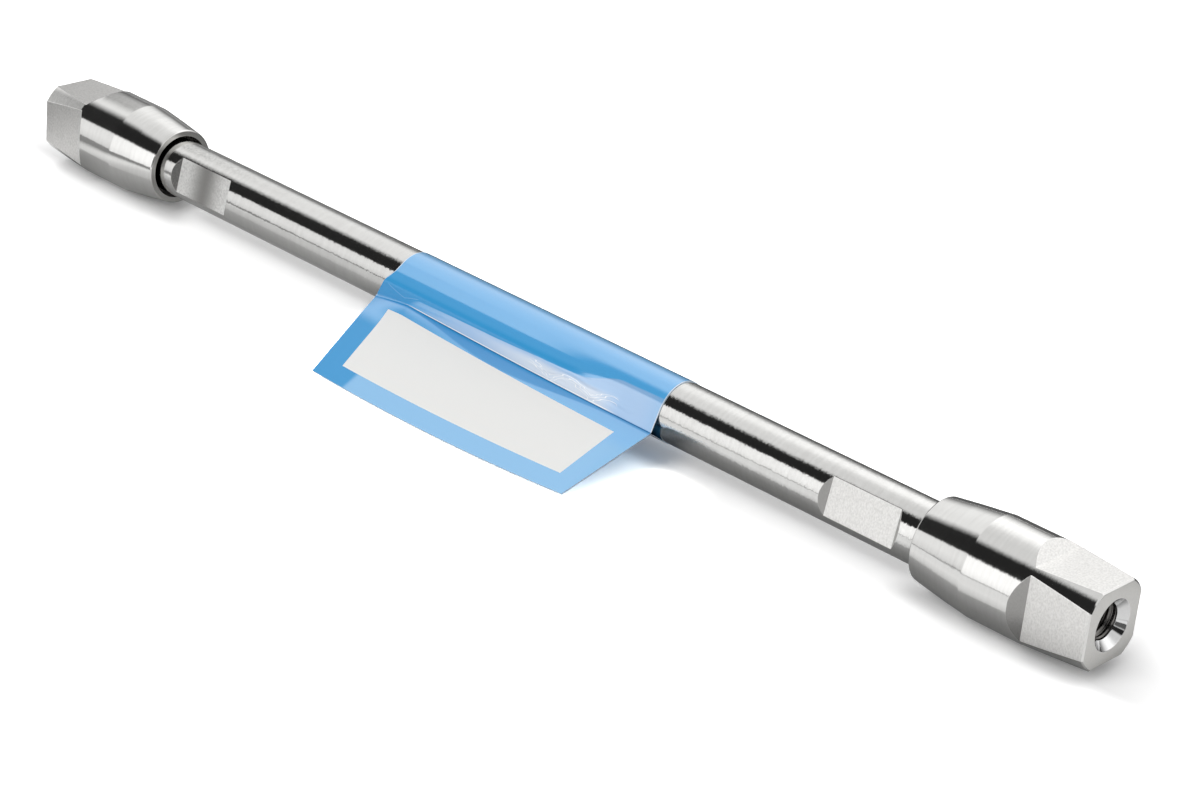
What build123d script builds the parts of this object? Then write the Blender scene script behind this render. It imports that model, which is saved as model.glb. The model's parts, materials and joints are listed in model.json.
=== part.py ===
from build123d import *
from math import acos, cos, radians, sin, tan
import os

# A packed column for liquid chromatography, lying on its side.
# A thick steel tube holds the packed bed.  Each end is closed by a sintered frit in a polymer seal ring,
# and a screwed-on end fitting with a coned port clamps them.  A film label is wrapped round the tube
# and its two ends are stuck together as a flag.
# Millimetres.  +X runs along the axis from inlet to outlet, +Z is up, and the flag points to -Y.
# The origin is on the surface that the column lies on, under the middle of its outline.

# Tube
bed_length = 150.0         # the bed fills the tube from end to end
tube_radius = 4.0
bore_radius = 2.3
tube_flat_height = 3.15    # from the axis to each of a pair of wrench flats
tube_flat_length = 10.1
tube_flat_gap = 3.6        # from a fitting's mouth to the nearer end of the flats
tube_flat_roll = 70.3      # degrees about the axis, from the pair facing up and down
tube_end_chamfer = 0.2

# Thread between tube and fitting, both parts at the pitch line
thread_radius = 3.7
thread_clearance = 0.05
thread_relief = 0.5        # from the end of the fitting's thread to the tube's full diameter

# End fitting, measured from its mouth towards its end face
fitting_length = 24.35
entry_depth = 7.6          # how far the tube goes in
mouth_radius = 4.45
mouth_depth = 2.0
rim_radius = 5.3
shoulder_radius = 5.87
shoulder_at = 4.1
body_radius = 6.35         # half-inch bar
rear_taper_length = 8.0
front_taper_start = 16.3
end_radius = 5.67
rim_chamfer = 0.15
end_chamfer = 0.2
fitting_flat_height = 4.84
fitting_flat_start = 16.1
fitting_flats = 4
fitting_roll = -7.5        # degrees about the axis, from one flat facing up

# Coned port for a small threaded fitting, measured inwards from the end face
countersink_radius = 3.2
port_radius = 2.2          # pitch line of a No. 10 fine thread
port_depth = 7.5
seat_angle = 33.0          # half angle of the conical seat
pilot_radius = 0.85
pilot_depth = 1.8
drilling_radius = 0.25

# Frit and its seal ring, held in a pocket of the fitting
frit_thickness = 1.6
frit_radius = 2.9
ring_radius = 3.45
ring_chamfer = 0.15
pocket_clearance = 0.05
spreader_depth = 0.3       # shallow cone in the pocket's floor

# Label: its outline seen from above, with x from the middle of the tube and y from the axis
film_thickness = 0.1
wrap_left = -19.5
wrap_right = 27.7
crease_left = -21.5
crease_right = 27.5
flag_left = -18.4
flag_right = 25.2
flag_reach_left = 19.0
flag_reach_right = 18.0
pinch_distance = 5.08      # from the axis to where the film's two ends meet
pinch_angle = 10.2         # degrees below level
flag_slope = 15.9          # degrees below level
pinch_fillet = 1.2

middle = Location((0, (flag_reach_left - body_radius) / 2, body_radius))
tube_end = bed_length / 2
mouth_at = tube_end - entry_depth


def turned(*outline):
    """A solid turned about the axis from an outline of (distance along the axis, radius) points."""
    return revolve(make_face(Polyline(*outline, close=True)), Axis.X)


def milled(roll, reach, *outline):
    """The space over a flat, from its side view as (distance along the axis, height) points."""
    side = make_face(Polyline(*outline, close=True))
    return Rot(X=roll) * extrude(Plane.XZ * side, reach, both=True)


def column_tube():
    """Thick tube with a thread at each end and a pair of wrench flats beside each fitting."""
    full = mouth_at + mouth_depth - thread_relief
    half = [
        (tube_end, bore_radius),
        (tube_end, thread_radius - tube_end_chamfer),
        (tube_end - tube_end_chamfer, thread_radius),
        (full + tube_radius - thread_radius, thread_radius),
        (full, tube_radius),
    ]
    tube = turned(*half, *[(-x, radius) for x, radius in reversed(half)])
    # The flats' two ends run out at 45 degrees
    flat_stop = mouth_at - tube_flat_gap
    flat_start = flat_stop - tube_flat_length
    clear = 2 * tube_radius
    rise = clear - tube_flat_height
    over_flat = [
        (flat_start, tube_flat_height),
        (flat_stop, tube_flat_height),
        (flat_stop + rise, clear),
        (flat_start - rise, clear),
    ]
    for roll in (tube_flat_roll, tube_flat_roll + 180):
        tube -= milled(roll, clear, *over_flat)
        tube -= milled(roll, clear, *[(-x, height) for x, height in over_flat])
    return tube


def packed_bed():
    """The packing, a plug that fills the tube's bore."""
    return turned((-tube_end, 0), (tube_end, 0), (tube_end, bore_radius), (-tube_end, bore_radius))


def frit():
    """Sintered disc against the tube's end, for the outlet."""
    outer = tube_end + frit_thickness
    return turned((tube_end, 0), (outer, 0), (outer, frit_radius), (tube_end, frit_radius))


def frit_ring():
    """Polymer ring pressed round the frit, which seals tube to fitting."""
    outer = tube_end + frit_thickness
    return turned(
        (tube_end, frit_radius),
        (outer, frit_radius),
        (outer, ring_radius - ring_chamfer),
        (outer - ring_chamfer, ring_radius),
        (tube_end + ring_chamfer, ring_radius),
        (tube_end, ring_radius - ring_chamfer),
    )


def end_fitting():
    """Turned fitting for the outlet: mouth, thread, frit pocket, drilling and coned port, with flats."""
    bore = thread_radius + thread_clearance
    pocket = ring_radius + pocket_clearance
    floor = entry_depth + frit_thickness
    sink = countersink_radius - port_radius
    seat = (port_radius - pilot_radius) / tan(radians(seat_angle))
    port_floor = fitting_length - port_depth
    outline = [
        (0, mouth_radius),
        (0, rim_radius - rim_chamfer),
        (rim_chamfer, rim_radius),
        (shoulder_at, shoulder_radius),
        (rear_taper_length, body_radius),
        (front_taper_start, body_radius),
        (fitting_length - end_chamfer, end_radius),
        (fitting_length, end_radius - end_chamfer),
        (fitting_length, countersink_radius),
        (fitting_length - sink, port_radius),
        (port_floor, port_radius),
        (port_floor - seat, pilot_radius),
        (port_floor - seat - pilot_depth, pilot_radius),
        (port_floor - seat - pilot_depth, drilling_radius),
        (floor + spreader_depth, drilling_radius),
        (floor, bore_radius),
        (floor, pocket),
        (entry_depth, pocket),
        (entry_depth, bore),
        (mouth_depth, bore),
        (mouth_depth, mouth_radius),
    ]
    fitting = Pos(X=mouth_at) * turned(*outline)
    # The flats run out at 45 degrees behind, and their far edges are chamfered with the end face's
    start = mouth_at + fitting_flat_start
    stop = mouth_at + fitting_length
    clear = 2 * body_radius
    over_flat = [
        (start, fitting_flat_height),
        (stop - end_chamfer, fitting_flat_height),
        (stop + end_chamfer, fitting_flat_height - 2 * end_chamfer),
        (stop + end_chamfer, clear),
        (start - clear + fitting_flat_height, clear),
    ]
    for index in range(fitting_flats):
        roll = fitting_roll + index * 360 / fitting_flats
        fitting -= milled(roll, clear, *over_flat)
    return fitting


def teardrop(radius, tip_distance):
    """Section of a film pulled round a tube: a circle and its two tangents to the pinch, in (y, z)."""
    direction = radians(180 + pinch_angle)
    spread = acos(radius / tip_distance)
    tip = (tip_distance * cos(direction), tip_distance * sin(direction))
    touch = [(radius * cos(direction + a), radius * sin(direction + a)) for a in (-spread, spread)]
    return Circle(radius) + make_face(Polyline((0, 0), touch[0], tip, touch[1], close=True))


def label_film():
    """Film wrapped round the tube, with its two ends stuck together as a flag that slopes down."""
    outer_radius = tube_radius + film_thickness
    direction = radians(180 + pinch_angle)
    pinch = Vector(pinch_distance * cos(direction), pinch_distance * sin(direction))
    flag = Pos(pinch.X, pinch.Y) * Rot(Z=180 + flag_slope) * Pos(X=-pinch_fillet) * Rectangle(
        2 * flag_reach_left, 2 * film_thickness, align=(Align.MIN, Align.CENTER)
    )
    section = teardrop(outer_radius, pinch_distance) + flag
    corners = section.vertices().sort_by_distance((pinch.X, pinch.Y, 0))[:2]
    section = fillet(corners, pinch_fillet)
    section -= teardrop(tube_radius, pinch_distance * tube_radius / outer_radius)
    sheet = extrude(Plane.YZ * section, bed_length / 2, both=True)
    outline = make_face(
        Polyline(
            (wrap_left, 2 * tube_radius),
            (wrap_left, -tube_radius / 2),
            (crease_left, pinch.X),
            (flag_left, -flag_reach_left),
            (flag_right, -flag_reach_right),
            (crease_right, pinch.X),
            (wrap_right, -tube_radius / 2),
            (wrap_right, 2 * tube_radius),
            close=True,
        )
    )
    return sheet & extrude(outline, 2 * flag_reach_left, both=True)


outlet = {
    "outlet_frit": frit(),
    "outlet_frit_ring": frit_ring(),
    "outlet_end_fitting": end_fitting(),
}
parts = {"column_tube": column_tube(), "packed_bed": packed_bed(), "label_film": label_film(), **outlet}
for name, solid in outlet.items():
    parts[name.replace("outlet", "inlet")] = Rot(Z=180) * Rot(X=-2 * fitting_roll) * solid

os.makedirs("parts", exist_ok=True)
for name, solid in parts.items():
    export_step(middle * solid, f"parts/{name}.step")
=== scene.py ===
import json
import math

import bpy
import numpy as np
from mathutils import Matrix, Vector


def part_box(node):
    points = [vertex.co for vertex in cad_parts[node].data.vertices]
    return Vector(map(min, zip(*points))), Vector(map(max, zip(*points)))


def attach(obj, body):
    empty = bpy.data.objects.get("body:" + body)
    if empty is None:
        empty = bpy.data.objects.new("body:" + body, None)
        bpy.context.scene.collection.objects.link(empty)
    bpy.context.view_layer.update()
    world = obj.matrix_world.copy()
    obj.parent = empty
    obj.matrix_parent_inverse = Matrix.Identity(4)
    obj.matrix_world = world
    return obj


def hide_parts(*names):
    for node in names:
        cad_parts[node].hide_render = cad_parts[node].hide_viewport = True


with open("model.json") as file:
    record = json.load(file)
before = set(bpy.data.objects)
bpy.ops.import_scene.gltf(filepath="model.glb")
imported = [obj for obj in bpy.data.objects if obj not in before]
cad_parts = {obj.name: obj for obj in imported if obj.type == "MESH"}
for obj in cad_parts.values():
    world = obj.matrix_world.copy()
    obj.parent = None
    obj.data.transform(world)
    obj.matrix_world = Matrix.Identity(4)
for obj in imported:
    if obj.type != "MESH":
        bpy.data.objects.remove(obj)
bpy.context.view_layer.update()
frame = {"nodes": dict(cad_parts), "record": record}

# A packed chromatography column lying on a white table: a ground steel tube with a turned end fitting
# screwed on each end, and a glossy film label that is wrapped round the tube and stuck to itself as a
# flag.  Sizes are in millimetres until a mesh is made.  The column's axis runs along X.  Angles round
# the axis start level on the flag's side and rise over the top.

MM = 0.001
mounts = {mount["name"]: mount for mount in frame["record"]["mounts"]}
AXIS_Y, AXIS_Z = (value / MM for value in mounts["outlet_port"]["pos_m"][1:])
TUBE_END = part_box("column_tube")[1].x / MM
MOUTH, END_FACE = (corner.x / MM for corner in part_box("outlet_end_fitting"))

# Tube
BORE_RADIUS = 2.3
TUBE_RADIUS = 4.0
TUBE_FLAT_HEIGHT = 3.15      # from the axis to each of a pair of wrench flats
TUBE_FLAT_LENGTH = 10.1
TUBE_FLAT_GAP = 3.6          # from a fitting's mouth to the nearer end of the flats
TUBE_FLAT_FACING = 19.7      # degrees
TUBE_END_CHAMFER = 0.2
THREAD_RELIEF = 0.5          # from the end of the fitting's thread to the tube's full diameter

# End fitting, measured from its mouth
MOUTH_RADIUS = 4.45
MOUTH_DEPTH = 2.0
RIM_RADIUS = 5.3
RIM_CHAMFER = 0.15
SHOULDER_RADIUS = 5.87
SHOULDER_AT = 4.1
BODY_RADIUS = 6.35
REAR_TAPER = 8.0
FRONT_TAPER_START = 16.3
END_RADIUS = 5.67
END_CHAMFER = 0.2
FLAT_HEIGHT = 4.84
FLAT_START = 16.1
FLAT_FACING = 7.5            # degrees
POCKET_RADIUS = 3.5
FRIT_THICKNESS = 1.6
SPREADER_DEPTH = 0.3

# Coned port, measured inwards from the end face
COUNTERSINK_RADIUS = 3.2
PORT_RADIUS = 2.2
PORT_DEPTH = 7.5
SEAT_ANGLE = 33.0            # half angle of the conical seat, degrees
PILOT_RADIUS = 0.85
PILOT_DEPTH = 1.8
DRILLING_RADIUS = 0.25

# Threads, as (pitch, rise of the first flank over the pitch line, signed depth)
MALE_RADIUS = 3.7
FEMALE_RADIUS = 3.75
THREADS = {
    "male thread": (0.75, 0.0, -0.4),
    "female thread": (0.75, 0.0, 0.4),
    "port thread": (25.4 / 32, -0.16, 0.36),
}
ROWS_PER_PITCH = 10
THREAD_FADE = 0.7            # of a pitch, over which a thread starts and ends
SHALLOWEST_FLAT = 0.004      # a flat that cuts no deeper than this is left out
EDGE_EASE = 0.06             # how far each edge is broken

# Label film.  Its outline has x from the middle of the tube and distances from the axis
FILM = 0.1
FILM_RADIUS = TUBE_RADIUS + FILM / 2
PINCH = np.array([-5.0, -0.9])           # where the film's two ends meet, as (y, z) from the axis
FLAG_SLOPE = 15.9                        # degrees below level
WRAP_EDGES = (-19.5, 27.7)
CREASE_EDGES = (-21.5, 27.5)
FLAG_EDGES = (-18.4, 25.2)
FLAG_LENGTHS = (14.5, 13.46)             # from the pinch, along the left and the right edge
UPPER_ANGLE = 64.5                       # where the film meets the circle over the top, degrees
LOWER_ANGLE = 60.0                       # and underneath
LAYER_GAP = 0.006                        # between the flag's two layers
CREASE_EASES = (0.22, 0.4)               # of the fold's curve up the wrap, over and under
BOW = 0.76                               # rise of the fold near its left end
BOW_LENGTH = 41.0                        # along the fold, from the right end, where it is nil
BOW_EASE = 6.0                           # over which it falls back to nil at the left end
BOW_REACHES = (2.4, 2.2)                 # how far it is felt, up the strip and down the flag
BOW_DIRECTION = np.array([0.13, 0.99])   # as (y, z)
SAG = 0.062                              # of the flag's middle, for each millimetre from the fold
SAG_MIDDLE = 2.5
SAG_HALF_LENGTH = 22.5
FILM_COLUMNS = 188
# Corners of the white panel, as (x, distance from the pinch)
PANEL = np.array([(-17.77, 1.39), (23.37, 2.19), (22.47, 10.84), (-15.64, 11.68)])


# ---------------------------------------------------------------- meshes

def mesh_object(name, points, faces, materials, slots):
    """A smooth mesh at the origin from points in millimetres and an array of quads, facing outwards:
    the signed volume is a sum of corner . (corner x corner), and where it is negative the quads turn."""
    corners = points[faces]
    volume = np.einsum("ij,ij->", corners[:, 0], np.cross(corners[:, 1], corners[:, 2]))
    volume += np.einsum("ij,ij->", corners[:, 0], np.cross(corners[:, 2], corners[:, 3]))
    if volume < 0:
        faces = faces[:, ::-1]
    mesh = bpy.data.meshes.new(name)
    mesh.vertices.add(len(points))
    mesh.vertices.foreach_set("co", (points * MM).astype(np.float32).ravel())
    mesh.loops.add(faces.size)
    mesh.loops.foreach_set("vertex_index", faces.astype(np.int32).ravel())
    mesh.polygons.add(len(faces))
    mesh.polygons.foreach_set("loop_start", np.arange(0, faces.size, 4, dtype=np.int32))
    for material in materials:
        mesh.materials.append(material)
    mesh.polygons.foreach_set("material_index", slots.astype(np.int32))
    mesh.update(calc_edges=True)
    mesh.shade_smooth()
    piece = bpy.data.objects.new(name, mesh)
    bpy.context.scene.collection.objects.link(piece)
    return piece


def walked_along(line):
    """Distance of each point of a line from its first, along the line."""
    return np.concatenate([[0], np.cumsum(np.linalg.norm(np.diff(line, axis=0), axis=1))])


def evenly_spaced(line, rows):
    """The same line drawn with so many points."""
    far = walked_along(line)
    share = np.linspace(0, far[-1], rows)
    return np.stack([np.interp(share, far, line[:, 0]), np.interp(share, far, line[:, 1])], axis=1)


def parabola(start, corner, stop, along):
    """Points that leave start towards the corner and reach stop from it, at shares of the way."""
    return (1 - along) ** 2 * start + 2 * along * (1 - along) * corner + along**2 * stop


def profile_rows(outline):
    """Rows of a closed outline of (station, radius, finish, extra rows) corners.  Each corner becomes a
    parabola that starts and stops one ease away from it, with one more row twice as far out that keeps
    the face beside it flat.  Returns stations, radii, side numbers and distances walked."""
    corner = np.array([entry[:2] for entry in outline], float)
    before = np.roll(corner, 1, axis=0) - corner
    after = np.roll(corner, -1, axis=0) - corner
    curve = []
    for toward in (before, after):
        length = np.linalg.norm(toward, axis=1, keepdims=True)
        for ease, share in ((2 * EDGE_EASE, 0.45), (EDGE_EASE, 0.3)):
            curve.append(corner + toward / length * np.minimum(ease, share * length))
    hold_before, start, hold_after, stop = (points[:, None] for points in curve)
    bend = parabola(start, corner[:, None], stop, np.linspace(0, 1, 5)[None, :, None])
    path = np.concatenate([hold_before, bend, hold_after], axis=1)
    each = path.shape[1]
    path = path.reshape(-1, 2)
    closed = np.concatenate([path, path[:1]])
    walked = walked_along(closed)
    extra = [
        np.linspace(walked[each * (side + 1) - 1], walked[each * (side + 1)], entry[3] + 2)
        for side, entry in enumerate(outline)
    ]
    tiny = 1e-4
    rows = np.unique(np.concatenate([walked[:-1], *extra]).round(5))
    rows = rows[rows < walked[-1] - tiny]
    side = (np.searchsorted(walked[each // 2:-1:each], rows + tiny) - 1) % len(outline)
    return np.interp(rows, walked, closed[:, 0]), np.interp(rows, walked, closed[:, 1]), side, rows


def thread_wave(station, angle, pitch):
    """A right-hand V thread with flattened crest and root: 0 at its crest and 1 at its root, from the
    turn that a point lies on, which is station / pitch + angle / full turn."""
    turn = (station / pitch + angle / (2 * math.pi)) % 1.0
    return np.clip(1.3 * np.abs(2 * turn - 1) - 0.15, 0, 1)


def turned_piece(name, outline, flats, face, finishes, end=1, lines=(30, 16)):
    """A closed surface turned about the axis.  Its radius is the profile's, plus a thread's wave, and
    over a flat no more than height / cos(angle from the flat's normal).  Grid lines follow each flat's
    edge, at +-acos(height / radius), so that it stays crisp.  Rows of the end face shrink from the edge
    they meet.  flats: (number, facing, height function, {side of the outline: finish}).  finishes: name
    to material.  face: the end face's side of the outline.  lines: over each flat and beside it."""
    station, radius, side, walked = profile_rows(outline)
    number, facing, height, flat_sides = flats
    turn = math.radians(facing if end == 1 else 180 - facing)
    half_period = math.pi / number
    limit = height(station)
    has_flat = np.isin(side, list(flat_sides)) & (limit < radius - SHALLOWEST_FLAT)
    known = np.arccos(np.clip(limit / radius, -1, 1))[has_flat]
    last_step = 0.05          # from the outline's last row back to its first
    spread = np.interp(walked, walked[has_flat], known, period=walked[-1] + last_step)
    ease = np.minimum(EDGE_EASE / np.maximum(radius, 1), 0.3 * np.minimum(spread, half_period - spread))
    inner = np.linspace(-1, 1, lines[0])[None, :] * (spread - ease)[:, None]
    left_over = 2 * (half_period - spread - ease)
    outer = (spread + ease)[:, None] + np.linspace(0, 1, lines[1])[None, :] * left_over[:, None]
    one = np.concatenate([-spread[:, None], inner, spread[:, None], outer], axis=1)
    over_flat = np.arange(one.shape[1]) <= lines[0] + 1
    offset = np.tile(one, number)
    over_flat = np.tile(over_flat, number)
    angle = turn + offset + np.repeat(np.arange(number), one.shape[1])[None, :] * 2 * half_period
    grid = np.repeat(radius[:, None], angle.shape[1], axis=1)
    for index, entry in enumerate(outline):
        if entry[2] in THREADS:
            pitch, lift, depth = THREADS[entry[2]]
            low, high = sorted((entry[0], outline[(index + 1) % len(outline)][0]))
            from_end = np.minimum(station - low, high - station)
            fade = np.clip(from_end / (THREAD_FADE * pitch), 0, 1) * (side == index)
            grid += fade[:, None] * (lift + depth * thread_wave(station[:, None], angle, pitch))
    cut = has_flat[:, None] & over_flat[None, :]
    grid = np.where(cut, np.minimum(grid, limit[:, None] / np.cos(np.where(cut, offset, 0))), grid)
    if face is not None:
        rows = np.flatnonzero(side == face)
        edge, floor = grid[rows[0] - 1], radius[rows[-1]]
        share = (radius[rows] - floor) / (radius[rows[0] - 1] - floor)
        grid[rows] = floor + (edge - floor)[None, :] * share[:, None]
    x = np.repeat(station[:, None], angle.shape[1], axis=1) * end
    y = AXIS_Y - grid * np.cos(angle) * end
    z = AXIS_Z + grid * np.sin(angle)
    points = np.stack([x, y, z], axis=-1).reshape(-1, 3)
    index = np.arange(grid.size).reshape(grid.shape)
    under, beside = np.roll(index, -1, axis=0), np.roll(index, -1, axis=1)
    faces = np.stack([index, under, np.roll(under, -1, axis=1), beside], axis=-1).reshape(-1, 4)
    names = list(finishes)
    slots = np.array([names.index(outline[row_side][2]) for row_side in side])
    slots = slots[:, None] * np.ones_like(index)
    on_flat = over_flat & np.roll(over_flat, -1) & (np.arange(over_flat.size) % one.shape[1] <= lines[0])
    for cut_side, cut_finish in flat_sides.items():
        slots[(has_flat & (side == cut_side))[:, None] & on_flat[None, :]] = names.index(cut_finish)
    return mesh_object(name, points, faces, list(finishes.values()), slots.ravel())


def tent_line(corner, top_angle, rows):
    """Points of the film where it stands off the tube like a tent, from the corner up to the circle,
    which it meets at top_angle without a bend.  The angle of its normal is piecewise linear in the
    distance along it: nearly level over the lower part, a short bend, a shallow slope and a second bend
    to the tangent.  The lengths of the first part and of the tangent come from the two equations for
    the distance to be bridged."""
    top = FILM_RADIUS * np.array([-math.cos(top_angle), math.sin(top_angle)])
    tangent = math.degrees(top_angle)
    lengths = [0.0, 0.45, 1.5, 0.2, 0.0]
    steps_each = 40
    parts = []
    for low, high in ((4, 11), (11, 46), (46, 56), (56, tangent), (tangent, tangent)):
        lean = np.radians(np.linspace(low, high, steps_each + 1))
        parts.append(np.stack([np.sin(lean), np.cos(lean)], axis=1))
    mean = np.array([part.mean(axis=0) for part in parts])
    left_over = top - corner - np.array(lengths) @ mean
    lengths[0], lengths[4] = np.linalg.solve(mean[[0, 4]].T, left_over)
    steps = [(part[1:] + part[:-1]) / 2 * length / steps_each for part, length in zip(parts, lengths)]
    line = corner + np.concatenate([np.zeros((1, 2)), np.cumsum(np.concatenate(steps), axis=0)])
    return evenly_spaced(line, rows)


def snug_line(corner, side, top_angle, rows):
    """Points of the film where it is pulled tight, from the corner along a tangent to the circle and on
    round it to top_angle.  A tangent from distance d touches a circle of radius r at acos(r / d) from
    that point's direction.  side is 1 over the top and -1 underneath."""
    direction = math.atan2(side * corner[1], -corner[0])
    touch_angle = direction + math.acos(FILM_RADIUS / np.linalg.norm(corner))
    turn = np.linspace(touch_angle, top_angle, 60)
    arc = FILM_RADIUS * np.stack([-np.cos(turn), side * np.sin(turn)], axis=1)
    straight = corner + np.linspace(0, 1, 60)[:-1, None] * (arc[0] - corner)
    return evenly_spaced(np.concatenate([straight, arc]), rows)


def fold(corner, out, line, flag_ease, wrap_ease, share):
    """One layer of film, from the flag's free edge to the end of a line that starts at the corner: the
    corner becomes a parabola between points flag_ease out on the flag and wrap_ease up the line.
    share runs from 1 at the free edge to 0, as a part of each column's length of flag."""
    far = walked_along(line)
    stop = np.array([np.interp(wrap_ease, far, line[:, 0]), np.interp(wrap_ease, far, line[:, 1])])
    start = corner + flag_ease[:, None] * out
    bend = parabola(start, corner, stop, np.linspace(0, 1, 14)[:, None, None])
    flag = start + share[:, :, None] * out
    rest = line[far > wrap_ease + 0.02][:, None, :] * np.ones((1, len(flag_ease), 1))
    return np.concatenate([flag, bend[1:], rest])


def film_piece(name, film, cut_edge):
    """The label film as a closed sheet.  Its middle line runs in along the flag's upper layer, through
    the fold, up over the tube and back underneath to the lower layer.  Over the fold it is a mix of a
    tent and a snug line, which goes from one to the other along the tube.  Each row of the grid goes
    from the film's left edge to its right, and the film stands half its thickness to either side."""
    slope = math.radians(FLAG_SLOPE)
    out = np.array([-math.cos(slope), -math.sin(slope)])
    up = np.array([-math.sin(slope), math.cos(slope)])
    # Columns and rows crowd at the cut edges, to keep them crisp
    across = np.concatenate([[0, 0.0015], np.linspace(0.005, 0.995, FILM_COLUMNS), [0.9985, 1]])
    share = np.concatenate([[1, 0.997], np.linspace(0.99, 0.01, 30)])
    length = (1 - across) * FLAG_LENGTHS[0] + across * FLAG_LENGTHS[1]
    near_x = CREASE_EDGES[0] + across * (CREASE_EDGES[1] - CREASE_EDGES[0])
    # The tent gives way from x = 9 on at the crease and from 3 on at the tube, and is gone at 22
    snug_from = 22
    snugness = [np.clip((near_x - start) / (snug_from - start), 0, 1) for start in (9, 3)]
    snugness = [share**2 * (3 - 2 * share) for share in snugness]
    # The crease is roundest over its middle
    soft = np.exp(-(((near_x - 2) / 13) ** 4))
    upper_ease, lower_ease = 0.35 + 0.75 * soft, np.full_like(across, 0.4)
    top_angle, bottom_angle = math.radians(UPPER_ANGLE), math.radians(LOWER_ANGLE)
    upper_corner, lower_corner = (PINCH + layer * (FILM + LAYER_GAP) / 2 * up for layer in (1, -1))
    on_flag = share[:, None] * (length - upper_ease)[None, :]
    upper = [
        fold(upper_corner, out, line, upper_ease, CREASE_EASES[0], on_flag)
        for line in (
            tent_line(upper_corner, top_angle, 80),
            snug_line(upper_corner, 1, top_angle, 80),
        )
    ]
    rows = min(len(layer) for layer in upper)
    upper = [layer[:rows] for layer in upper]
    climb = np.clip((np.arange(rows) - len(share)) / (rows - len(share)), 0, 1)[:, None]
    mix = (1 - climb) * snugness[0] + climb * snugness[1]
    upper = upper[0] + mix[:, :, None] * (upper[1] - upper[0])
    on_flag = share[:, None] * (length - lower_ease)[None, :]
    line = snug_line(lower_corner, -1, bottom_angle, 26)
    lower = fold(lower_corner, out, line, lower_ease, CREASE_EASES[1], on_flag)
    turn = np.linspace(top_angle, 2 * math.pi - bottom_angle, 60)[1:-1]
    arc = FILM_RADIUS * np.stack([-np.cos(turn), np.sin(turn)], axis=1)
    middle = np.concatenate([upper, arc[:, None, :] * np.ones((1, len(across), 1)), lower[::-1]])

    rows = len(middle)
    step = np.gradient(middle, axis=0)
    step /= np.linalg.norm(step, axis=2, keepdims=True)
    normal = np.stack([-step[:, :, 1], step[:, :, 0]], axis=-1)
    walked = np.cumsum(np.linalg.norm(np.diff(middle, axis=0, prepend=middle[:1]), axis=2), axis=0)
    from_crease = walked - length[None, :]

    # The fold bows upwards, most at its left, and draws the flag's top layer and the strip with it
    bow = BOW * ((CREASE_EDGES[1] - near_x) / BOW_LENGTH) ** 2
    bow = bow * np.clip((near_x - CREASE_EDGES[0]) / BOW_EASE, 0, 1)
    up_strip = np.clip(1 - from_crease / BOW_REACHES[0], 0, 1)
    down_flag = np.exp(-((from_crease / BOW_REACHES[1]) ** 2))
    drawn = np.where(from_crease > 0, up_strip, down_flag) * (np.arange(rows) < len(upper))[:, None]
    middle = middle + (bow * drawn)[:, :, None] * BOW_DIRECTION

    # The sides run from the crease's ends to the wrap's, the left one with a bend at x = -20
    up_from = np.linalg.norm(middle[:, 0] - PINCH, axis=1)
    bend_at, wrapped_at = 3.2, 4.2
    left = np.interp(up_from, [0, bend_at, wrapped_at], [CREASE_EDGES[0], -20.0, WRAP_EDGES[0]])
    right = np.interp(up_from, [0, wrapped_at], [CREASE_EDGES[1], WRAP_EDGES[1]])
    reach = np.clip((PINCH[0] - middle[:, 0, 0]) / (length[0] * math.cos(slope)), 0, 1)
    left = np.where(reach > 0, CREASE_EDGES[0] + reach * (FLAG_EDGES[0] - CREASE_EDGES[0]), left)
    right = np.where(reach > 0, CREASE_EDGES[1] + reach * (FLAG_EDGES[1] - CREASE_EDGES[1]), right)
    x = left[:, None] + (right - left)[:, None] * across[None, :]

    # The flag sags a little between its two corners, more the further it is from the fold
    away = np.clip(PINCH[0] - middle[:, :, 0], 0, None)
    sag = SAG * away * np.clip(1 - ((x - SAG_MIDDLE) / SAG_HALF_LENGTH) ** 2, 0, 1)
    lift = wrinkles(x, from_crease)
    ring = []
    for side, order in ((1, slice(None)), (-1, slice(None, None, -1))):
        surface = middle + (lift + side * FILM / 2)[:, :, None] * normal
        sheet = np.stack([x, AXIS_Y + surface[:, :, 0], AXIS_Z + surface[:, :, 1] - sag], axis=-1)
        ring.append(sheet[:, order])
    points = np.concatenate(ring, axis=1)
    columns = len(across)
    index = np.arange(rows * 2 * columns).reshape(rows, 2 * columns)
    here, there = index[:-1], index[1:]
    skin = np.stack([here, there, np.roll(there, -1, axis=1), np.roll(here, -1, axis=1)], axis=-1)
    slots = np.zeros(skin.shape[:2], int)
    slots[:, [columns - 1, 2 * columns - 1]] = 1
    caps = []
    for row, order in ((index[0], 1), (index[-1], -1)):
        one, other = row[:columns], row[::-1][:columns]
        cap = np.stack([one[:-1], one[1:], other[1:], other[:-1]], axis=-1)
        caps.append(cap[:, ::order])
    faces = np.concatenate([skin.reshape(-1, 4), *caps])
    slots = np.concatenate([slots.ravel(), np.ones(2 * (columns - 1), int)])
    piece = mesh_object(name, points.reshape(-1, 3), faces, [film, cut_edge], slots)
    piece.data.set_sharp_from_angle(angle=math.radians(50))

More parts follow.
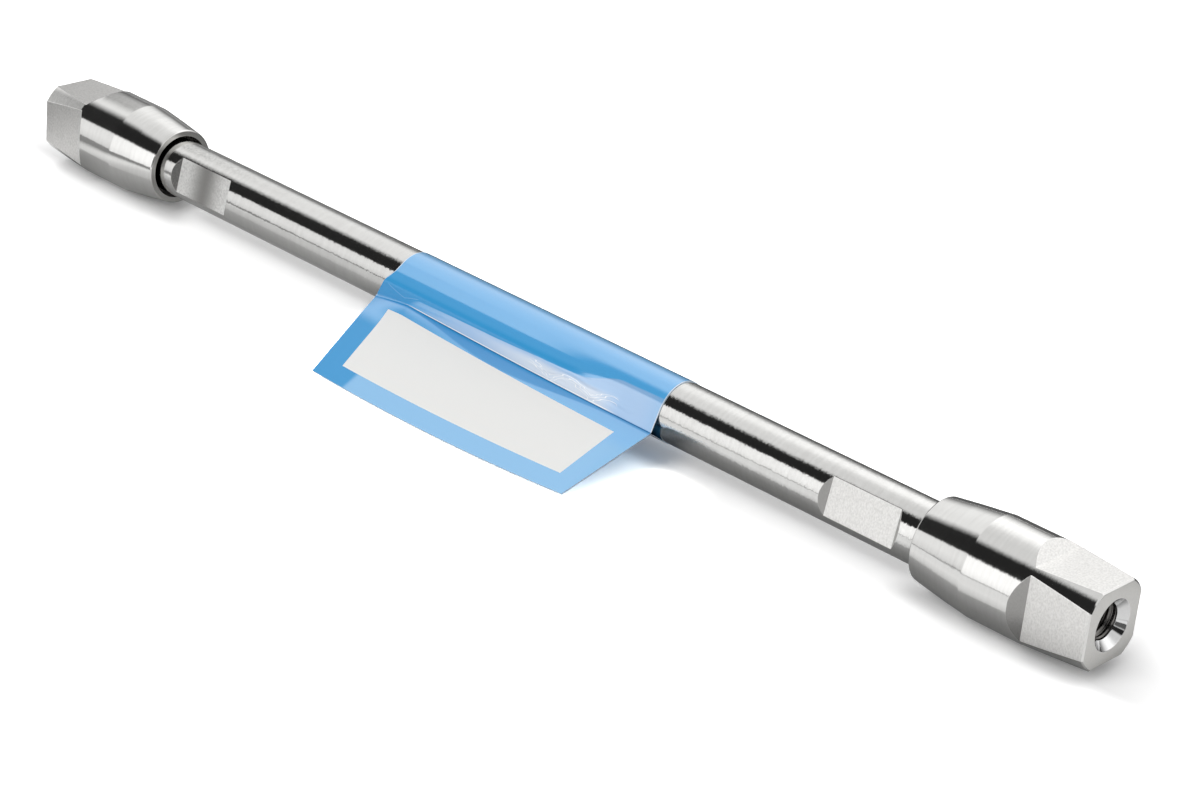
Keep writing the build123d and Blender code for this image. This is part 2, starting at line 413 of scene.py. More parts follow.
    # Three maps that the film's pattern follows: millimetres over the sheet, the white panel's own
    # square, from a share of the way between its slanted edges, and millimetres from the cut sides
    top_left, top_right, low_right, low_left = PANEL
    away = -from_crease
    slant = (top_right - top_left)[1] / (top_right - top_left)[0]
    top = top_left[1] + (x - top_left[0]) * slant
    slant = (low_right - low_left)[1] / (low_right - low_left)[0]
    bottom = low_left[1] + (x - low_left[0]) * slant
    slant = (low_left - top_left)[0] / (low_left - top_left)[1]
    west = top_left[0] + (away - top_left[1]) * slant
    slant = (low_right - top_right)[0] / (low_right - top_right)[1]
    east = top_right[0] + (away - top_right[1]) * slant
    panel = np.stack([(x - west) / (east - west), (away - top) / (bottom - top)], axis=-1)
    sheet = np.stack([x, from_crease], axis=-1)
    rim = np.stack([x - left[:, None], right[:, None] - x], axis=-1)
    loops = np.zeros(len(piece.data.loops), np.int32)
    piece.data.loops.foreach_get("vertex_index", loops)
    for layer, values in (("sheet", sheet), ("panel", panel), ("rim", rim)):
        both = np.concatenate([values, values[:, ::-1]], axis=1).reshape(-1, 2)
        corners = both[loops].astype(np.float32).ravel()
        piece.data.uv_layers.new(name=layer).uv.foreach_set("vector", corners)
    return piece


def wrinkles(x, from_crease):
    """Height of the film's wrinkles: low waves that drift across the free strip between the crease and
    the tube, each a sine of a slanted and bent distance, under a hump that is nil on tube and flag."""
    hump = np.exp(-(((from_crease - 1.3) / 0.8) ** 2)) * np.exp(-(((x - 14) / 9) ** 4))
    bent = from_crease + 0.35 * np.sin(x / 3.1 + 0.8) + 0.16 * np.sin(x / 1.15)
    long_wave = 0.020 * np.sin(2 * math.pi * (bent / 1.3 + x / 31))
    short_wave = 0.012 * np.sin(2 * math.pi * (bent / 0.72 - x / 17) + 1.3)
    return hump * (long_wave + short_wave)


# ---------------------------------------------------------------- materials

def linear(code):
    """sRGB hex to linear colour with alpha."""
    values = np.array([int(code[i:i + 2], 16) / 255 for i in (1, 3, 5)])
    values = np.where(values <= 0.04045, values / 12.92, ((values + 0.055) / 1.055) ** 2.4)
    return (*values.tolist(), 1.0)


def add(tree, kind, inputs=None, **settings):
    """A node of a kind with its settings.  Its inputs are given as values, or as sockets to link, or as
    nodes, whose first output is meant."""
    node = tree.nodes.new(kind)
    for key, value in settings.items():
        setattr(node, key, value)
    for key, value in (inputs or {}).items():
        if isinstance(value, bpy.types.Node):
            value = value.outputs[0]
        if isinstance(value, bpy.types.NodeSocket):
            tree.links.new(value, node.inputs[key])
        else:
            node.inputs[key].default_value = value
    return node


def finish(name, constants):
    """A new material, its tree and its shader, with the numbers that are the same all over."""
    material = bpy.data.materials.new(name)
    material.use_nodes = True
    shader = material.node_tree.nodes["Principled BSDF"]
    for key, value in constants.items():
        shader.inputs[key].default_value = value
    return material, material.node_tree, shader


def marks(tree, along, around, detail=2.0):
    """Noise whose cells are so many millimetres long along X and across it."""
    place = add(tree, "ShaderNodeTexCoord").outputs["Object"]
    scale = (1 / (along * MM), 1 / (around * MM), 1 / (around * MM))
    stretched = add(tree, "ShaderNodeMapping", {"Vector": place, "Scale": scale})
    return add(
        tree, "ShaderNodeTexNoise", {"Vector": stretched, "Scale": 1.0, "Detail": detail}
    ).outputs["Fac"]


def region(tree, *steps):
    """A mask: the product of soft steps, each from nil where its value is at low to all at high."""
    product = 1.0
    for value, low, high in steps:
        step = add(
            tree, "ShaderNodeMapRange", {"Value": value, "From Min": low, "From Max": high},
            interpolation_type="SMOOTHSTEP",
        )
        product = add(tree, "ShaderNodeMath", {0: step, 1: product}, operation="MULTIPLY")
    return product


def levels(tree, value, points):
    """A grey level that follows a value through (value, level) points, straight from one to the next."""
    low, high = points[0][0], points[-1][0]
    share = add(tree, "ShaderNodeMapRange", {"Value": value, "From Min": low, "From Max": high})
    ramp = add(tree, "ShaderNodeValToRGB", {0: share})
    elements = ramp.color_ramp.elements
    for element, point in ((elements[0], points[0]), (elements[1], points[-1])):
        element.position = (point[0] - low) / (high - low)
        element.color = (point[1], point[1], point[1], 1)
    for place, level in points[1:-1]:
        elements.new((place - low) / (high - low)).color = (level, level, level, 1)
    return ramp.outputs[0]


def ringed_steel(name, pale, dark, roughness, ring, lean):
    """Stainless steel finished round and round: fine rings lean the normal a little round the axis and
    along it, so that the edges of what it mirrors come out ragged."""
    material, tree, shader = finish(
        name, {"Metallic": 1.0, "Roughness": roughness, "Anisotropic": 0.6, "Anisotropic Rotation": 0.25},
    )
    normal = add(tree, "ShaderNodeNewGeometry").outputs["Normal"]
    around = add(tree, "ShaderNodeVectorMath", {0: (1, 0, 0), 1: normal}, operation="CROSS_PRODUCT")
    total = normal
    for direction, noise, width in (
        (around, marks(tree, ring, 0.3, 2.0), lean),
        ((1, 0, 0), marks(tree, 0.8 * ring, 0.4, 2.0), 0.6 * lean),
    ):
        less = add(tree, "ShaderNodeMath", {0: noise, 1: 0.5}, operation="SUBTRACT")
        share = add(tree, "ShaderNodeMath", {0: less, 1: width}, operation="MULTIPLY")
        step = add(tree, "ShaderNodeVectorMath", {0: direction, "Scale": share}, operation="SCALE")
        total = add(tree, "ShaderNodeVectorMath", {0: total, 1: step}, operation="ADD")
    unit = add(tree, "ShaderNodeVectorMath", {0: total}, operation="NORMALIZE")
    tree.links.new(unit.outputs[0], shader.inputs["Normal"])
    tone = marks(tree, 3 * ring, 4.0)
    colour = add(tree, "ShaderNodeMix", {0: tone, 6: linear(dark), 7: linear(pale)}, data_type="RGBA")
    tree.links.new(colour.outputs[2], shader.inputs["Base Color"])
    tangent = add(tree, "ShaderNodeTangent", direction_type="RADIAL", axis="X")
    tree.links.new(tangent.outputs[0], shader.inputs["Tangent"])
    return material


def grained(name, pale, dark, along, around, depth, constants, patch=None):
    """A finish whose grain, with cells so many millimetres long and wide, is seen in tone and relief.
    patch: (middle and half width along X, tone) of a soft darker band of painted shade."""
    material, tree, shader = finish(name, constants)
    grain = marks(tree, along, around, 3.0)
    colour = add(tree, "ShaderNodeMix", {0: grain, 6: linear(dark), 7: linear(pale)}, data_type="RGBA")
    if patch:
        middle, half, tone = patch
        place = add(tree, "ShaderNodeTexCoord").outputs["Object"]
        x = add(tree, "ShaderNodeSeparateXYZ", {0: place}).outputs[0]
        shade_band = region(tree, (x, (middle - half) * MM, middle * MM), (x, (middle + half) * MM, middle * MM))
        colour = add(
            tree, "ShaderNodeMix", {0: shade_band, 6: colour.outputs[2], 7: linear(tone)}, data_type="RGBA"
        )
    tree.links.new(colour.outputs[2], shader.inputs["Base Color"])
    relief = add(tree, "ShaderNodeBump", {"Height": grain, "Strength": 1.0, "Distance": depth * MM})
    tree.links.new(relief.outputs[0], shader.inputs["Normal"])
    return material


def label_finish():
    """Blue printed film under a clear glossy skin, with a bare matt white panel on the flag.  Where the
    film stands free of the tube it has gone milky, with fine bright creases.  The fold is a thin line of
    painted dark reflection with a painted bright reflection along its edge, and the flag is painted paler
    further from the fold, a painted sheen.  Part of the flag, the strip's left end and the lower edge of
    the dark band over it have no gloss and are painted darker, a painted dark reflection, and a
    lens-shaped painted shade under the fold has less gloss.  x runs along the tube and away up from the
    crease, both in millimetres, and on the flag away is negative."""
    material, tree, shader = finish("glossy_printed_film", {"Coat Roughness": 0.015, "Coat IOR": 2.15})
    sheet = add(tree, "ShaderNodeUVMap", uv_map="sheet")
    at = add(tree, "ShaderNodeSeparateXYZ", {0: sheet})
    x, away = at.outputs[0], at.outputs[1]
    rim = add(tree, "ShaderNodeSeparateXYZ", {0: add(tree, "ShaderNodeUVMap", uv_map="rim")})

    square = add(tree, "ShaderNodeUVMap", uv_map="panel")
    from_middle = add(tree, "ShaderNodeVectorMath", {0: square, 1: (0.5, 0.5, 0)}, operation="SUBTRACT")
    size = add(tree, "ShaderNodeVectorMath", {0: from_middle}, operation="ABSOLUTE")
    each = add(tree, "ShaderNodeSeparateXYZ", {0: size})
    furthest = add(tree, "ShaderNodeMath", {0: each.outputs[0], 1: each.outputs[1]}, operation="MAXIMUM")
    outside = add(tree, "ShaderNodeMath", {0: furthest, 1: 0.5}, operation="GREATER_THAN")

    noises = []
    for along, across, detail, distortion in ((7.0, 1.6, 2.0, 0.4), (4.0, 0.9, 0.0, 1.5)):
        place = add(tree, "ShaderNodeMapping", {"Vector": sheet, "Scale": (1 / along, 1 / across, 1)})
        noises.append(add(
            tree, "ShaderNodeTexNoise",
            {"Vector": place, "Scale": 1.0, "Detail": detail, "Distortion": distortion},
        ).outputs["Fac"])
    cloud, swirl = noises
    sway = add(tree, "ShaderNodeMath", {0: cloud, 1: 0.8, 2: -0.4}, operation="MULTIPLY_ADD")
    bent = add(tree, "ShaderNodeMath", {0: away, 1: sway}, operation="ADD")
    # Creases in the loose film follow 0.75 + 1.25 |cos(pi (x - 13.6) / 6.9)| mm, one inside the other
    turn = math.pi / 6.9
    swing = add(tree, "ShaderNodeMath", {0: x, 1: turn, 2: -13.6 * turn}, operation="MULTIPLY_ADD")
    for operation in ("COSINE", "ABSOLUTE"):
        swing = add(tree, "ShaderNodeMath", {0: swing}, operation=operation)
    arch = add(tree, "ShaderNodeMath", {0: swing, 1: -1.25, 2: -0.75}, operation="MULTIPLY_ADD")
    wander = add(tree, "ShaderNodeMath", {0: swirl, 1: 0.9, 2: -0.45}, operation="MULTIPLY_ADD")
    arch = add(tree, "ShaderNodeMath", {0: arch, 1: wander}, operation="ADD")
    arch = add(tree, "ShaderNodeMath", {0: arch, 1: away}, operation="ADD")
    crease = add(tree, "ShaderNodeMath", {0: arch, 1: 0.18}, operation="PINGPONG")
    # One more crease is a V at the left end
    from_tip = add(tree, "ShaderNodeMath", {0: x, 1: 16.2}, operation="ADD")
    from_tip = add(tree, "ShaderNodeMath", {0: from_tip}, operation="ABSOLUTE")
    vee = add(tree, "ShaderNodeMath", {0: from_tip, 1: -0.36, 2: -1.35}, operation="MULTIPLY_ADD")
    vee = add(tree, "ShaderNodeMath", {0: vee, 1: away}, operation="ADD")
    # The milky film's upper limit rises to the right, by 1.45 mm more where the film is pulled snug
    climb = region(tree, (x, 15.0, 21.0))
    limit = add(tree, "ShaderNodeMath", {0: x, 1: -0.022, 2: away}, operation="MULTIPLY_ADD")
    limit = add(tree, "ShaderNodeMath", {0: sway, 1: 0.35, 2: limit}, operation="MULTIPLY_ADD")
    raised = add(tree, "ShaderNodeMath", {0: climb, 1: -1.45, 2: limit}, operation="MULTIPLY_ADD")
    lens = region(tree, (x, -15.0, 2.0), (x, 22.0, 3.0))
    lens = add(tree, "ShaderNodeMath", {0: lens, 1: 1.4, 2: away}, operation="MULTIPLY_ADD")
    end = add(tree, "ShaderNodeMath", {0: away, 1: -1.1, 2: x}, operation="MULTIPLY_ADD")

    bare_flag = region(tree, (x, -12.4, -13.2), (away, -2.4, -4.6))
    bare_strip = region(tree, (end, -15.0, -16.2), (away, 0.1, 0.5), (away, 3.6, 3.0))
    bare_lens = region(tree, (away, 0.0, -0.12), (lens, -0.50, -0.15))
    bare_lens = add(tree, "ShaderNodeMath", {0: bare_lens, 1: 0.7}, operation="MULTIPLY")
    bare_band = region(tree, (limit, 2.24, 2.36), (away, 3.6, 3.0), (x, 17.0, 13.0))
    bare = bare_flag
    for mask in (bare_strip, bare_band, bare_lens):
        bare = add(tree, "ShaderNodeMath", {0: bare, 1: mask}, operation="MAXIMUM")
    vee_line = region(tree, (vee, -0.10, -0.03), (vee, 0.10, 0.03), (x, -19.6, -19.0), (x, -13.4, -14.0))
    tints = [(region(tree, *steps), tint) for tint, steps in (
        # Painted sheen: the flag paler further from the fold; and the lens-shaped painted shade under the
        # fold
        ("#66B1E4", ((away, -2.4, -5.0),)),
        ("#2686D0", ((away, 0.0, -0.12), (lens, -0.45, -0.15))),
        # The milky strip, and its whiter middle
        ("#93BDE8", ((raised, 2.5, 2.25), (away, 0.0, 0.12), (end, -16.5, -6.0), (x, 33.0, 24.0))),
        ("#D3DFEE", ((bent, 2.5, 1.3), (away, 0.0, 0.12), (x, -6.0, 9.0), (x, 22.0, 17.0))),
        # Bright creases, a painted bright reflection along the fold's edge and a painted dark reflection
        # in its line
        ("#F6F9FC", ((crease, 0.055, 0.015), (arch, -1.0, -0.8), (arch, 0.12, 0.06), (away, 0.15, 0.3),
                     (x, 6.0, 8.0), (x, 21.6, 20.6))),
        ("#F2F6FA", ((away, 0.02, 0.08), (away, 0.28, 0.20), (end, -17.0, -13.0), (x, 22.0, 19.0))),
        ("#1F5C98", ((away, -0.20, -0.12), (away, 0.06, 0.0), (x, -18.0, -10.0))),
        # Pale cut sides of the wrap
        ("#D5E4F2", ((rim.outputs[0], 0.16, 0.08), (away, 0.0, 0.2))),
        ("#D5E4F2", ((rim.outputs[1], 0.16, 0.08), (away, 0.0, 0.2))),
    )]
    # Painted dark reflection: where the film has no gloss it is also painted darker
    tints += [(bare, "#3C98D2"), (vee_line, "#66ABDD")]
    colour = linear("#53ABE6")
    for mask, tint in tints:
        colour = add(tree, "ShaderNodeMix", {0: mask, 6: colour, 7: linear(tint)}, data_type="RGBA")
        colour = colour.outputs[2]
    colour = add(tree, "ShaderNodeMix", {0: outside, 6: linear("#E8E8E6"), 7: colour}, data_type="RGBA")
    tree.links.new(colour.outputs[2], shader.inputs["Base Color"])
    skin = add(tree, "ShaderNodeMath", {0: outside, 1: bare}, operation="SUBTRACT", use_clamp=True)
    tree.links.new(skin.outputs[0], shader.inputs["Coat Weight"])
    rough = add(tree, "ShaderNodeMapRange", {"Value": outside, "To Min": 0.5, "To Max": 0.2}).outputs[0]
    tree.links.new(rough, shader.inputs["Roughness"])
    return material


METAL = {"Metallic": 1.0}
# Centreless-ground stainless tube: bands of the studio with grainy edges; its marks are finer than the
# 0.18 mm drawn here, which still shows from a distance
ground_tube = ringed_steel("ground_stainless_tube", "#DEDEDC", "#D0CFCD", 0.10, 0.18, 0.15)
# Fine-turned stainless bar: the same, with the closer and fainter marks of a sharp tool
turned_bar = ringed_steel("fine_turned_stainless", "#E2E2E0", "#D5D4D2", 0.10, 0.14, 0.055)
# Side-milled flats: satin and finely sparkling, with cutter lines 0.2 mm apart across them
milled_flat = grained(
    "milled_stainless_flat", "#FCFBF9", "#C4C3C0", 0.2, 0.3, 0.012, {**METAL, "Roughness": 0.33}
)
# Painted shade: the far end's flats are a darker, grittier copy of the milled flat, darker still in a soft
# band across the middle
shaded_far_flat = grained(
    "shaded_far_stainless_flat", "#FFFFFD", "#B0AFAD", 0.25, 0.3, 0.02, {**METAL, "Roughness": 0.33},
    patch=(-58.6, 4.2, "#8D8C8A"),
)
# Run-outs left by the cutter's corner: smoother than the flats, and painted darker: painted shade for the
# darker light they mirror
shaded_run_out = grained(
    "shaded_milled_run_out", "#A6A5A3", "#969593", 0.15, 0.3, 0.003, {**METAL, "Roughness": 0.14}
)
# Faced end: matt, no direction
faced_end = grained(
    "faced_stainless_end", "#DAD9D6", "#C6C5C2", 0.15, 0.15, 0.006, {**METAL, "Roughness": 0.36}
)
# Countersink cut with a keen tool: a near mirror
bright_cone = grained(
    "bright_cut_cone", "#DCDCDC", "#D2D2D2", 0.3, 0.3, 0.0006, {**METAL, "Roughness": 0.07}
)
# The tube's own thread: bright flanks with the drag of the die
cut_thread = grained(
    "cut_stainless_thread", "#CFCECC", "#ABAAA8", 0.1, 0.6, 0.004, {**METAL, "Roughness": 0.22}
)
# Tapped and bored steel, with the drag of the tap, painted darker: painted shade for the hollows it lines
shaded_tapped_steel = grained(
    "shaded_tapped_stainless", "#7C7A78", "#565452", 0.1, 0.6, 0.004, {**METAL, "Roughness": 0.24}
)
# Sintered stainless frit: open grey grains of about 0.1 mm, drawn twice as coarse so that they show
sintered_frit = grained(
    "sintered_stainless_frit", "#8F8D88", "#3F3E3B", 0.2, 0.2, 0.03, {"Metallic": 0.8, "Roughness": 0.55}
)
# Machined natural polymer: waxy cream, faint cutter lines
seal_polymer = grained("natural_seal_polymer", "#D9CDAE", "#CFC2A1", 0.25, 0.8, 0.004, {"Roughness": 0.42})
# Packed silica: chalk-white powder, quite matt
packed_silica = grained("packed_silica_powder", "#F0EFEA", "#DAD8D1", 0.15, 0.15, 0.02, {"Roughness": 0.9})
# Cut edge of the film: its pale core
cut_film = grained("cut_film_edge", "#D5E2EE", "#BFD3E6", 0.3, 0.3, 0.002, {"Roughness": 0.35})
label_film = label_finish()


# ---------------------------------------------------------------- pieces

def tube_flats(station):
    """Height of the tube's flats over the axis, rising at 45 degrees past their two ends."""
    stop = MOUTH - TUBE_FLAT_GAP
    beyond = np.maximum(np.abs(station) - stop, stop - TUBE_FLAT_LENGTH - np.abs(station))
    return TUBE_FLAT_HEIGHT + np.maximum(beyond, 0)


def fitting_flats(station):
    """Height of a fitting's flats over the axis: it rises at 45 degrees behind their start, and the
    chamfer round the end face takes it down again."""
    behind = np.maximum(MOUTH + FLAT_START - station, 0)
    return FLAT_HEIGHT + behind - np.maximum(station - (END_FACE - END_CHAMFER), 0)


full = MOUTH + MOUTH_DEPTH - THREAD_RELIEF
flat_stop = MOUTH - TUBE_FLAT_GAP
flat_start = flat_stop - TUBE_FLAT_LENGTH
rise = TUBE_RADIUS - TUBE_FLAT_HEIGHT
thread_rows = int((TUBE_END - full) / THREADS["male thread"][0] * ROWS_PER_PITCH)
half_tube = [
    (TUBE_END, BORE_RADIUS, "faced", 2),
    (TUBE_END, MALE_RADIUS - TUBE_END_CHAMFER, "turned", 0),
    (TUBE_END - TUBE_END_CHAMFER, MALE_RADIUS, "male thread", thread_rows),
    (full + TUBE_RADIUS - MALE_RADIUS, MALE_RADIUS, "turned", 0),
    (full, TUBE_RADIUS, "turned", 3),
    (flat_stop + rise, TUBE_RADIUS, "turned", 12),
    (flat_stop, TUBE_RADIUS, "turned", 4),
    (flat_start, TUBE_RADIUS, "turned", 12),
    (flat_start - rise, TUBE_RADIUS, "turned", 24),
]
far_half = [
    (-station, radius, half_tube[index - 1][2], half_tube[index - 1][3])
    for index, (station, radius, *_) in enumerate(half_tube)
][::-1]
tube_outline = half_tube + far_half
tube_finishes = {
    "turned": ground_tube, "milled": milled_flat, "shaded far": shaded_far_flat, "run-out": shaded_run_out,
    "faced": faced_end, "male thread": cut_thread, "bore": shaded_tapped_steel,
}
tube_outline[-1] = (*tube_outline[-1][:2], "bore", 4)
last = len(tube_outline) - 1
tube_flat_sides = {
    5: "run-out", 6: "milled", 7: "run-out",
    last - 8: "run-out", last - 7: "shaded far", last - 6: "run-out",
}
tube = turned_piece(
    "ground_tube", tube_outline, (2, TUBE_FLAT_FACING, tube_flats, tube_flat_sides), None, tube_finishes,
    lines=(34, 60),
)

sink = COUNTERSINK_RADIUS - PORT_RADIUS
seat = (PORT_RADIUS - PILOT_RADIUS) / math.tan(math.radians(SEAT_ANGLE))
port_floor = END_FACE - PORT_DEPTH
pocket_floor = TUBE_END + FRIT_THICKNESS
port_rows = int(PORT_DEPTH / THREADS["port thread"][0] * ROWS_PER_PITCH)
fitting_outline = [
    (MOUTH, MOUTH_RADIUS, "faced", 0),
    (MOUTH, RIM_RADIUS - RIM_CHAMFER, "turned", 0),
    (MOUTH + RIM_CHAMFER, RIM_RADIUS, "turned", 4),
    (MOUTH + SHOULDER_AT, SHOULDER_RADIUS, "turned", 4),
    (MOUTH + REAR_TAPER, BODY_RADIUS, "turned", 8),
    (MOUTH + FLAT_START - (BODY_RADIUS - FLAT_HEIGHT), BODY_RADIUS, "turned", 18),
    (MOUTH + FLAT_START, BODY_RADIUS, "turned", 0),
    (MOUTH + FRONT_TAPER_START, BODY_RADIUS, "turned", 20),
    (END_FACE - END_CHAMFER, END_RADIUS, "chamfer", 0),
    (END_FACE, END_RADIUS - END_CHAMFER, "faced", 4),
    (END_FACE, COUNTERSINK_RADIUS, "cone", 4),
    (END_FACE - sink, PORT_RADIUS, "port thread", port_rows),
    (port_floor, PORT_RADIUS, "cone", 3),
    (port_floor - seat, PILOT_RADIUS, "bore", 2),
    (port_floor - seat - PILOT_DEPTH, PILOT_RADIUS, "bore", 0),
    (port_floor - seat - PILOT_DEPTH, DRILLING_RADIUS, "bore", 0),
    (pocket_floor + SPREADER_DEPTH, DRILLING_RADIUS, "bore", 0),
    (pocket_floor, BORE_RADIUS, "bore", 0),
    (pocket_floor, POCKET_RADIUS, "bore", 0),
    (TUBE_END, POCKET_RADIUS, "bore", 0),
    (TUBE_END, FEMALE_RADIUS, "female thread", thread_rows),
    (MOUTH + MOUTH_DEPTH, FEMALE_RADIUS, "bore", 0),
    (MOUTH + MOUTH_DEPTH, MOUTH_RADIUS, "bore", 3),
]
fitting_finishes = {
    "turned": turned_bar, "milled": milled_flat, "run-out": shaded_run_out, "chamfer": turned_bar,
    "faced": faced_end, "cone": bright_cone, "port thread": shaded_tapped_steel, "bore": shaded_tapped_steel,
    "female thread": shaded_tapped_steel,
}
label = film_piece("label_sheet", label_film, cut_film)
pieces = [(tube, "column", "column_tube", "tube_steel"), (label, "column", "label_film", "label_film")]
flat_sides = {5: "run-out", 6: "milled", 7: "milled", 8: "chamfer"}
end_face_side = 9
fittings = {}
for name, end in (("outlet", 1), ("inlet", -1)):
    fittings[name] = turned_piece(
        f"{name}_fitting", fitting_outline, (4, FLAT_FACING, fitting_flats, flat_sides), end_face_side,
        fitting_finishes, end=end,
    )
    pieces.append((fittings[name], f"{name}_fitting", f"{name}_end_fitting", "fitting_steel"))
# Painted light: the outlet's run-outs that face upwards take the bright flat finish, so that the upper
# flat's run-out is as bright as the flat
run_out, milled = (list(fitting_finishes).index(key) for key in ("run-out", "milled"))
for polygon in fittings["outlet"].data.polygons:
    if polygon.material_index == run_out and polygon.normal.z > 0.6:
        polygon.material_index = milled
for piece, body, node, slot in pieces:
    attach(piece, body)
    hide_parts(node)
for node, material in (
    ("packed_bed", packed_silica),
    ("inlet_frit", sintered_frit), ("outlet_frit", sintered_frit),
    ("inlet_frit_ring", seal_polymer), ("outlet_frit_ring", seal_polymer),
):
    frame["nodes"][node].data.materials.clear()
    frame["nodes"][node].data.materials.append(material)


# ---------------------------------------------------------------- table, light and camera

# The board's level in mirror rays, at distances across the column in millimetres: painted shade, darker in
# the object's shade and behind it
BOARD_LEVELS = (
    (-30, 0.95), (-18, 1.0), (-11, 0.90), (-8.5, 0.80), (-6.5, 0.46), (-4, 0.41), (-1, 0.34), (10, 0.25),
    (20, 0.12), (40, 0.12),
)
# The studio's level at degrees round the X axis, from level on the flag's side, over the top, to level
# behind: as the far end's surfaces mirror it, and as the near end's do
FAR_LEVELS = (
    (0, 0.54), (8, 0.60), (20, 0.66), (60, 0.63), (113, 0.67), (137, 0.69), (150, 0.66), (159, 0.50),
    (171, 0.20), (180, 0.09),
)
NEAR_LEVELS = (
    (0, 0.76), (6, 0.84), (14, 0.90), (60, 0.88), (61, 0.54), (84, 0.53), (100, 0.52), (113, 0.58),
    (125, 0.80), (134, 0.93), (150, 0.91), (161, 0.66), (172, 0.31), (180, 0.12),
)
STUDIO_WHITE = 0.62          # the level that is as bright as the white behind the board


def table_top():
    """A square of matt white board, two metres a side.  The camera's rays see it lighter than it is, so
    that it is white but for the shadow under the fittings and a little under the tube, where painted shade
    makes it darker, and beside the flag painted light holds the flag's shadow back.  Mirror rays see
    painted shade where it lies in the object's own shade, behind it and past the far end, and painted
    light round the two ends, beside the far half and under the flag."""
    half = 1.0
    corners = [(-half, -half, 0), (half, -half, 0), (half, half, 0), (-half, half, 0)]
    mesh = bpy.data.meshes.new("table_top")
    mesh.from_pydata(corners, [], [(0, 1, 2, 3)])
    material = bpy.data.materials.new("white_board")
    material.use_nodes = True
    tree = material.node_tree
    tree.nodes.remove(tree.nodes["Principled BSDF"])
    ray = add(tree, "ShaderNodeLightPath")
    place = add(tree, "ShaderNodeTexCoord").outputs["Object"]
    place = add(tree, "ShaderNodeVectorMath", {0: place, "Scale": 1 / MM}, operation="SCALE")
    at = add(tree, "ShaderNodeSeparateXYZ", {0: place})
    x, y = at.outputs[0], at.outputs[1]
    either = add(tree, "ShaderNodeMath", {0: x}, operation="ABSOLUTE")

    round_ends = region(tree, (either, 91, 96), (either, 122, 110), (y, -12, -7), (y, 30, 22))
    far_half = region(tree, (x, -20, -34), (x, -92, -80), (y, 26, 14))
    far_half = add(tree, "ShaderNodeMath", {0: far_half, 1: 0.6}, operation="MULTIPLY")
    under_flag = region(tree, (x, -22, -16), (x, 27, 23), (y, 4, 0), (y, -14, -11))
    far_off = region(tree, (x, -92, -118))
    mirrored = levels(tree, y, BOARD_LEVELS)
    # Painted light in mirror rays round the two ends, beside the far half and under the flag, and painted
    # shade past the far end
    for mask, tone in (
        (round_ends, (0.9, 0.9, 0.9, 1)),
        (far_half, (0.6, 0.6, 0.6, 1)),
        (under_flag, (1.2, 1.15, 1.05, 1)),
        (far_off, (0.3, 0.3, 0.3, 1)),
    ):
        mirrored = add(tree, "ShaderNodeMix", {0: mask, 6: mirrored, 7: tone}, data_type="RGBA").outputs[2]
    plain = add(
        tree, "ShaderNodeMix", {0: ray.outputs["Is Glossy Ray"], 6: (0.45, 0.45, 0.45, 1), 7: mirrored},
        data_type="RGBA",
    )

    # The shadow under each fitting is kept, and the one beside tube and flag is held back: painted shade
    # darkens the board under each fitting and in a strip under the tube, and painted light lightens it
    # beside the flag
    under_fitting = region(tree, (either, 62, 68), (either, 114, 93), (y, 0.5, 4), (y, 20, 8))
    under_tube = region(tree, (either, 66, 62), (y, 3.6, 6.5), (y, 16, 12))
    beside_flag = region(tree, (x, -30, -22), (x, 38, 30), (y, 4.2, 0.5))
    tone = 1.6
    for mask, less in ((under_fitting, -0.65), (under_tube, -0.6)):
        tone = add(tree, "ShaderNodeMath", {0: mask, 1: less, 2: tone}, operation="MULTIPLY_ADD")
    white = add(tree, "ShaderNodeCombineXYZ")
    for channel, more in enumerate((3.6, 3.4, 3.0)):
        tint = add(tree, "ShaderNodeMath", {0: beside_flag, 1: more, 2: tone}, operation="MULTIPLY_ADD")
        tree.links.new(tint.outputs[0], white.inputs[channel])
    seen = add(
        tree, "ShaderNodeMix", {0: ray.outputs["Is Camera Ray"], 6: plain.outputs[2], 7: white},
        data_type="RGBA",
    )
    board = add(tree, "ShaderNodeBsdfDiffuse", {"Color": seen.outputs[2]})
    tree.links.new(board.outputs[0], tree.nodes["Material Output"].inputs["Surface"])
    mesh.materials.append(material)
    table = bpy.data.objects.new("table_top", mesh)
    bpy.context.scene.collection.objects.link(table)


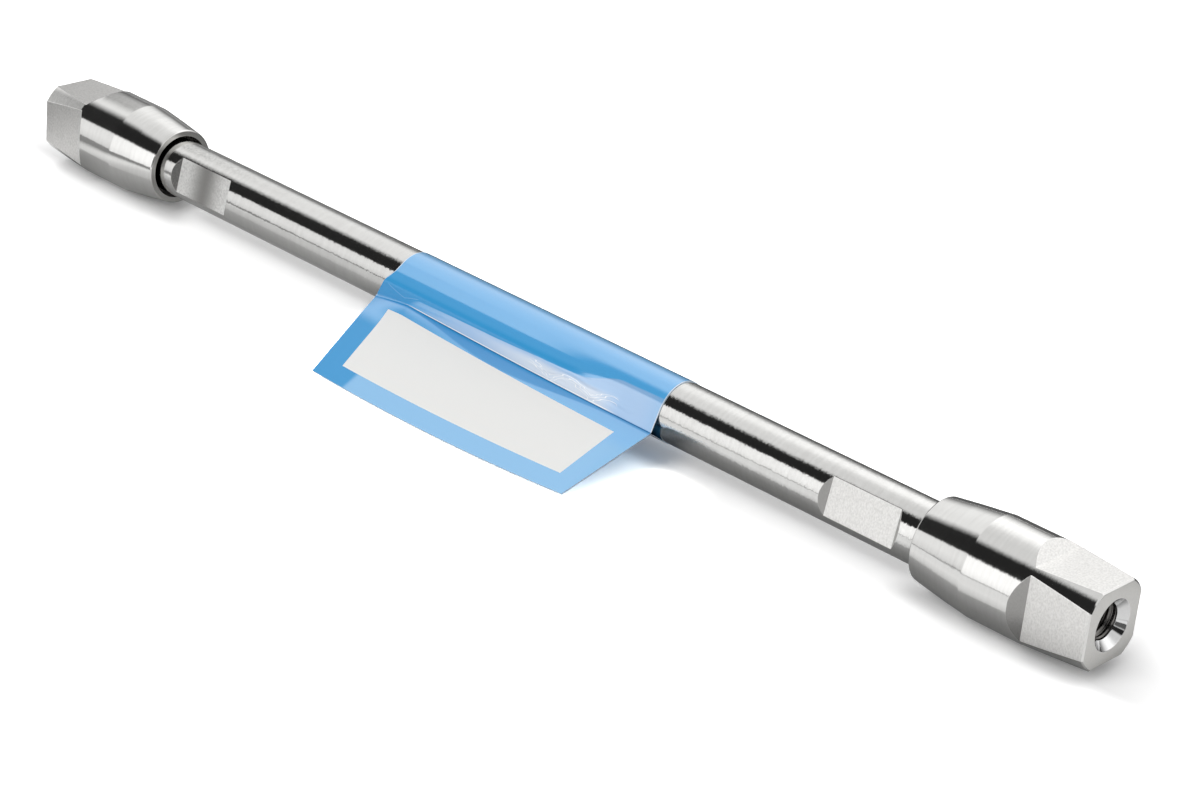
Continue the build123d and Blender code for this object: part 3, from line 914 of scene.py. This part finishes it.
def studio():
    """Soft boxes above and in front of the table, given as the light that comes from each direction
    round the X axis, for its far and its near end.  There is a dark gap between them, and it is dark
    behind past the far end, and low in front past the near end."""
    world = bpy.data.worlds.new("studio")
    bpy.context.scene.world = world
    world.use_nodes = True
    tree = world.node_tree
    direction = add(tree, "ShaderNodeTexCoord").outputs["Generated"]
    direction = add(tree, "ShaderNodeSeparateXYZ", {0: direction})
    along = direction.outputs[0]
    level = add(tree, "ShaderNodeMath", {0: direction.outputs[1], 1: -1.0}, operation="MULTIPLY")
    turn = add(tree, "ShaderNodeMath", {0: direction.outputs[2], 1: level}, operation="ARCTAN2")
    span = add(tree, "ShaderNodeMath", {0: turn, 1: 180 / math.pi}, operation="MULTIPLY")

    # The gap: towards the near end its upper edge sinks by 16 degrees and grows sharper, and its lower
    # edge sinks by 2.5 degrees
    shifts = []
    for low, high, first, last in (
        (-0.68, -0.473, -87.5, -71.5), (-0.68, -0.5, 1.0, 1.7), (-0.55, -0.48, 0.0, 2.5),
    ):
        limits = {"From Min": low, "From Max": high, "To Min": first, "To Max": last}
        shifts.append(add(tree, "ShaderNodeMapRange", {"Value": along, **limits}))
    upper = add(tree, "ShaderNodeMath", {0: span, 1: shifts[0]}, operation="ADD")
    upper = add(tree, "ShaderNodeMath", {0: upper, 1: shifts[1]}, operation="MULTIPLY")
    lower = add(tree, "ShaderNodeMath", {0: span, 1: shifts[2]}, operation="ADD")
    gap = region(tree, (lower, 37.5, 42.0), (upper, 11.5, -11.5), (along, -0.89, -0.79))
    behind = region(tree, (along, -0.69, -0.77), (span, 100.0, 130.0))
    in_front = region(tree, (along, 0.45, 0.58), (span, 45.0, 25.0), (span, -8.0, 0.0))

    near = add(tree, "ShaderNodeMapRange", {"Value": along, "From Min": -0.63, "From Max": -0.48})
    ends = {6: levels(tree, span, FAR_LEVELS), 7: levels(tree, span, NEAR_LEVELS)}
    light = add(tree, "ShaderNodeMix", {0: near, **ends}, data_type="RGBA")
    for mask, tone in ((behind, 0.05), (in_front, 0.08), (gap, 0.014)):
        grey = (tone, tone, tone, 1)
        light = add(tree, "ShaderNodeMix", {0: mask, 6: light.outputs[2], 7: grey}, data_type="RGBA")
    ray = add(tree, "ShaderNodeLightPath").outputs["Is Camera Ray"]
    white = (STUDIO_WHITE, STUDIO_WHITE, STUDIO_WHITE, 1)
    seen = add(tree, "ShaderNodeMix", {0: ray, 6: light.outputs[2], 7: white}, data_type="RGBA")
    background = tree.nodes["Background"]
    tree.links.new(seen.outputs[2], background.inputs[0])
    background.inputs[1].default_value = 1 / STUDIO_WHITE


table_top()
studio()
# A soft sun from above, for the shadows
lamp = bpy.data.lights.new("soft_key", "SUN")
lamp.energy = 1.05
lamp.angle = math.radians(30)
key = bpy.data.objects.new("soft_key", lamp)
key.rotation_euler = (math.radians(42), math.radians(-12), 0)
key.visible_glossy = False
bpy.context.scene.collection.objects.link(key)

# The camera looks down at the column from beyond its outlet, on the flag's side
view = bpy.data.cameras.new("camera")
view.sensor_width = 36.0
view.lens = 93.26
camera = bpy.data.objects.new("camera", view)
camera.location = (245.230 * MM, (AXIS_Y - 237.338) * MM, (AXIS_Z + 194.043) * MM)
camera.rotation_euler = (math.radians(59.155), 0, math.radians(44.243))
bpy.context.scene.collection.objects.link(camera)
bpy.context.scene.camera = camera
bpy.context.scene.view_settings.view_transform = "Standard"
